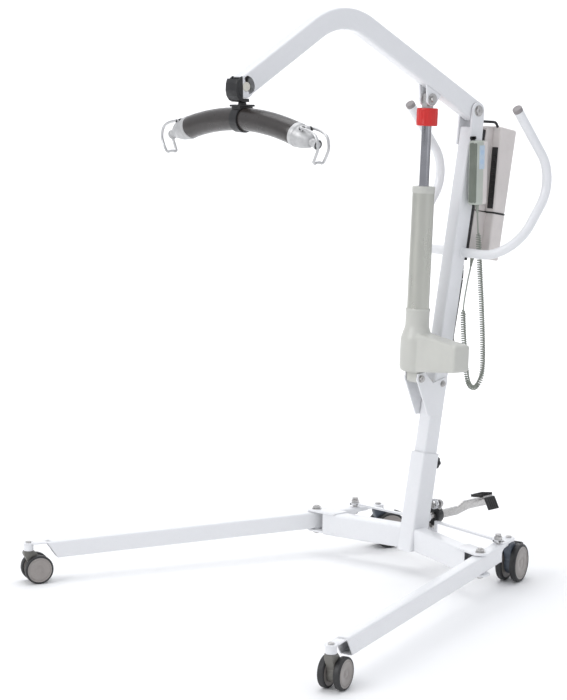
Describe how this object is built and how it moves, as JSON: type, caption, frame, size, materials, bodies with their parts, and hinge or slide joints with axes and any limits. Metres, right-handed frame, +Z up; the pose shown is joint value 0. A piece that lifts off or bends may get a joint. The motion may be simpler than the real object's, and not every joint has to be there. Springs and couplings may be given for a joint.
{
  "type": "patient lift hoist",
  "caption": "Mobile patient lift with spreading castor legs, leaning mast, electric actuator, bent boom, hook bar and push handle.",
  "frame": {"origin": "floor level, centre of the object's bounding box", "axes": "+Z up, -Y is the front where the legs and boom point, +X is the side with the handset"},
  "size_m": [1.201, 1.1824, 1.4785],
  "materials": {
    "white_paint": "gloss powder coat",
    "black_plastic": "satin",
    "grey_caps": "satin",
    "warm_grey_plastic": "fine texture",
    "handset_grey": "satin",
    "button_blue": "satin",
    "cord_grey": "satin",
    "zinc": "zinc plated",
    "pedal_rubber": "ribbed",
    "actuator_grey": "fine texture",
    "tube_grey": "satin",
    "chrome": "polished",
    "red_plastic": "satin",
    "ivory_plastic": "satin",
    "foam_cover": "semi-gloss skin",
    "cast_grey": "painted casting",
    "spring_steel": "bright wire",
    "castor_grey": "satin",
    "castor_blue_grey": "satin",
    "tyre_black": "matt tread, grey hub"
  },
  "bodies": {
    "frame": {"crossmember": "white_paint", "mast_socket": "white_paint", "mast_tube": "white_paint", "boom_clevis": "white_paint", "actuator_bracket": "white_paint", "push_handle": "white_paint", "handle_caps": "grey_caps", "box_carrier": "black_plastic", "control_box": "warm_grey_plastic", "handset_hook": "black_plastic", "hand_cord": "cord_grey", "actuator_cable": "black_plastic", "frame_bolts": "zinc"},
    "lock_knob": {"mast_knob": "black_plastic"},
    "battery_pack": {"battery": "warm_grey_plastic", "battery_handle": "black_plastic"},
    "handset": {"handset": "handset_grey"},
    "button_up": {"handset_button_up": "button_blue"},
    "button_down": {"handset_button_down": "button_blue"},
    "leg_left": {"leg_left": "white_paint", "leg_bolts_left": "zinc"},
    "leg_right": {"leg_right": "white_paint", "leg_bolts_right": "zinc"},
    "tie_rod_left": {"tie_rod_left": "white_paint"},
    "tie_rod_right": {"tie_rod_right": "white_paint"},
    "pedal": {"pedal_cam": "zinc", "pedal_arm": "zinc", "pedal_pads": "pedal_rubber"},
    "actuator": {"actuator_housing": "actuator_grey", "actuator_tube": "tube_grey", "actuator_tube_cap": "actuator_grey"},
    "rod": {"piston_rod": "chrome", "rod_end": "zinc"},
    "collar": {"release_collar": "red_plastic"},
    "boom": {"boom": "white_paint", "boom_lug": "white_paint", "boom_plugs": "ivory_plastic"},
    "hanger": {"hanger_yoke": "black_plastic"},
    "hook_bar": {"bar_saddle": "black_plastic", "bar_cover": "foam_cover", "bar_castings": "cast_grey"},
    "bail_left": {"hook_gate_left": "spring_steel"},
    "bail_right": {"hook_gate_right": "spring_steel"},
    "castor_front_left": {"castor_front_left": "castor_grey"},
    "wheel_front_left_out": {"wheel_front_left_out": "tyre_black"},
    "wheel_front_left_in": {"wheel_front_left_in": "tyre_black"},
    "castor_front_right": {"castor_front_right": "castor_grey"},
    "wheel_front_right_out": {"wheel_front_right_out": "tyre_black"},
    "wheel_front_right_in": {"wheel_front_right_in": "tyre_black"},
    "castor_rear_left": {"castor_rear_left": "castor_blue_grey"},
    "wheel_rear_left_out": {"wheel_rear_left_out": "tyre_black"},
    "wheel_rear_left_in": {"wheel_rear_left_in": "tyre_black"},
    "brake_left": {"brake_left": "black_plastic"},
    "castor_rear_right": {"castor_rear_right": "castor_blue_grey"},
    "wheel_rear_right_out": {"wheel_rear_right_out": "tyre_black"},
    "wheel_rear_right_in": {"wheel_rear_right_in": "tyre_black"},
    "brake_right": {"brake_right": "black_plastic"}
  },
  "joints": [
    {"name": "boom_lift", "type": "hinge", "parent": "frame", "child": "boom", "pos_m": [0, 0.472, 1.216], "axis": [1, 0, 0], "range_deg": [0, 40]},
    {"name": "actuator_tilt", "type": "hinge", "parent": "frame", "child": "actuator", "pos_m": [0, 0.275, 0.524], "axis": [1, 0, 0], "range_deg": [-1.62, 0.2]},
    {"name": "rod_extension", "type": "slide", "parent": "actuator", "child": "rod", "axis": [0, 0.0427, 0.9991], "range_m": [-0.1168, 0.001]},
    {"name": "release_turn", "type": "hinge", "parent": "rod", "child": "collar", "pos_m": [0, 0.275, 0.524], "axis": [0, 0.0427, 0.9991], "range_deg": [0, 90]},
    {"name": "hanger_swing", "type": "hinge", "parent": "boom", "child": "hanger", "pos_m": [0, -0.33, 1.29026], "axis": [1, 0, 0], "range_deg": [-40, 15]},
    {"name": "bar_swivel", "type": "hinge", "parent": "hanger", "child": "hook_bar", "pos_m": [0, -0.327, 1.25], "axis": [0, 0, 1], "continuous": true},
    {"name": "bail_left", "type": "hinge", "parent": "hook_bar", "child": "bail_left", "pos_m": [0.22334, -0.327, 1.20042], "axis": [0, 1, 0], "range_deg": [-70, 0], "stiffness_Nm_per_rad": 0.25},
    {"name": "bail_right", "type": "hinge", "parent": "hook_bar", "child": "bail_right", "pos_m": [-0.22334, -0.327, 1.20042], "axis": [0, 1, 0], "range_deg": [0, 70], "stiffness_Nm_per_rad": 0.25},
    {"name": "knob_turn", "type": "hinge", "parent": "frame", "child": "lock_knob", "pos_m": [0, 0.34682, 0.28696], "axis": [0, 0.9842, -0.1771], "continuous": true},
    {"name": "battery_lift", "type": "slide", "parent": "frame", "child": "battery_pack", "axis": [0, 0.1771, 0.9842], "range_m": [0, 0.15]},
    {"name": "handset_lift", "type": "slide", "parent": "frame", "child": "handset", "axis": [0, 0, 1], "range_m": [0, 0.04]},
    {"name": "button_up", "type": "slide", "parent": "handset", "child": "button_up", "axis": [-1, 0, 0], "range_m": [0, 0.0015], "stiffness_N_per_m": 600},
    {"name": "button_down", "type": "slide", "parent": "handset", "child": "button_down", "axis": [-1, 0, 0], "range_m": [0, 0.0015], "stiffness_N_per_m": 600},
    {"name": "leg_spread", "type": "hinge", "parent": "frame", "child": "leg_left", "pos_m": [0.3024, 0.212, 0.095], "axis": [0, 0, 1], "range_deg": [-16, 0]},
    {"name": "leg_spread_right", "type": "hinge", "parent": "frame", "child": "leg_right", "pos_m": [-0.3024, 0.212, 0.095], "axis": [0, 0, 1], "range_deg": [0, 16]},
    {"name": "tie_left", "type": "hinge", "parent": "leg_left", "child": "tie_rod_left", "pos_m": [0.26433, 0.32157, 0.1295], "axis": [0, 0, 1], "range_deg": [0, 17.3]},
    {"name": "tie_right", "type": "hinge", "parent": "leg_right", "child": "tie_rod_right", "pos_m": [-0.26433, 0.32157, 0.1295], "axis": [0, 0, 1], "range_deg": [-17.3, 0]},
    {"name": "pedal_rock", "type": "hinge", "parent": "frame", "child": "pedal", "pos_m": [0, 0.365, 0.14], "axis": [0, 1, 0], "range_deg": [-50, 0]},
    {"name": "swivel_front_left", "type": "hinge", "parent": "leg_left", "child": "castor_front_left", "pos_m": [0.57022, -0.5588, 0.0375], "axis": [0, 0, 1], "continuous": true},
    {"name": "roll_front_left_out", "type": "hinge", "parent": "castor_front_left", "child": "wheel_front_left_out", "pos_m": [0.563, -0.53802, 0.0375], "axis": [0.9446, 0.3282, 0], "continuous": true},
    {"name": "roll_front_left_in", "type": "hinge", "parent": "castor_front_left", "child": "wheel_front_left_in", "pos_m": [0.563, -0.53802, 0.0375], "axis": [0.9446, 0.3282, 0], "continuous": true},
    {"name": "swivel_front_right", "type": "hinge", "parent": "leg_right", "child": "castor_front_right", "pos_m": [-0.57022, -0.5588, 0.0375], "axis": [0, 0, 1], "continuous": true},
    {"name": "roll_front_right_out", "type": "hinge", "parent": "castor_front_right", "child": "wheel_front_right_out", "pos_m": [-0.563, -0.53802, 0.0375], "axis": [-0.9446, 0.3282, 0], "continuous": true},
    {"name": "roll_front_right_in", "type": "hinge", "parent": "castor_front_right", "child": "wheel_front_right_in", "pos_m": [-0.563, -0.53802, 0.0375], "axis": [-0.9446, 0.3282, 0], "continuous": true},
    {"name": "swivel_rear_left", "type": "hinge", "parent": "leg_left", "child": "castor_rear_left", "pos_m": [0.24135, 0.3877, 0.05], "axis": [0, 0, 1], "continuous": true},
    {"name": "roll_rear_left_out", "type": "hinge", "parent": "castor_rear_left", "child": "wheel_rear_left_out", "pos_m": [0.23216, 0.41415, 0.05], "axis": [0.9446, 0.3282, 0], "continuous": true},
    {"name": "roll_rear_left_in", "type": "hinge", "parent": "castor_rear_left", "child": "wheel_rear_left_in", "pos_m": [0.23216, 0.41415, 0.05], "axis": [0.9446, 0.3282, 0], "continuous": true},
    {"name": "brake_left", "type": "hinge", "parent": "castor_rear_left", "child": "brake_left", "pos_m": [0.22494, 0.43493, 0.09], "axis": [0.9446, 0.3282, 0], "range_deg": [0, 12]},
    {"name": "swivel_rear_right", "type": "hinge", "parent": "leg_right", "child": "castor_rear_right", "pos_m": [-0.24135, 0.3877, 0.05], "axis": [0, 0, 1], "continuous": true},
    {"name": "roll_rear_right_out", "type": "hinge", "parent": "castor_rear_right", "child": "wheel_rear_right_out", "pos_m": [-0.23216, 0.41415, 0.05], "axis": [-0.9446, 0.3282, 0], "continuous": true},
    {"name": "roll_rear_right_in", "type": "hinge", "parent": "castor_rear_right", "child": "wheel_rear_right_in", "pos_m": [-0.23216, 0.41415, 0.05], "axis": [-0.9446, 0.3282, 0], "continuous": true},
    {"name": "brake_right", "type": "hinge", "parent": "castor_rear_right", "child": "brake_right", "pos_m": [-0.22494, 0.43493, 0.09], "axis": [-0.9446, 0.3282, 0], "range_deg": [0, 12]}
  ],
  "couplings": [
    {"joint": "actuator_tilt", "follows": "boom_lift", "ratio": -0.0355},
    {"joint": "rod_extension", "follows": "boom_lift", "m_per_rad": -0.16444},
    {"joint": "leg_spread_right", "follows": "leg_spread", "ratio": -1},
    {"joint": "tie_left", "follows": "leg_spread", "ratio": -1.0786},
    {"joint": "tie_right", "follows": "leg_spread", "ratio": 1.0786},
    {"joint": "pedal_rock", "follows": "leg_spread", "ratio": 3.125}
  ]
}
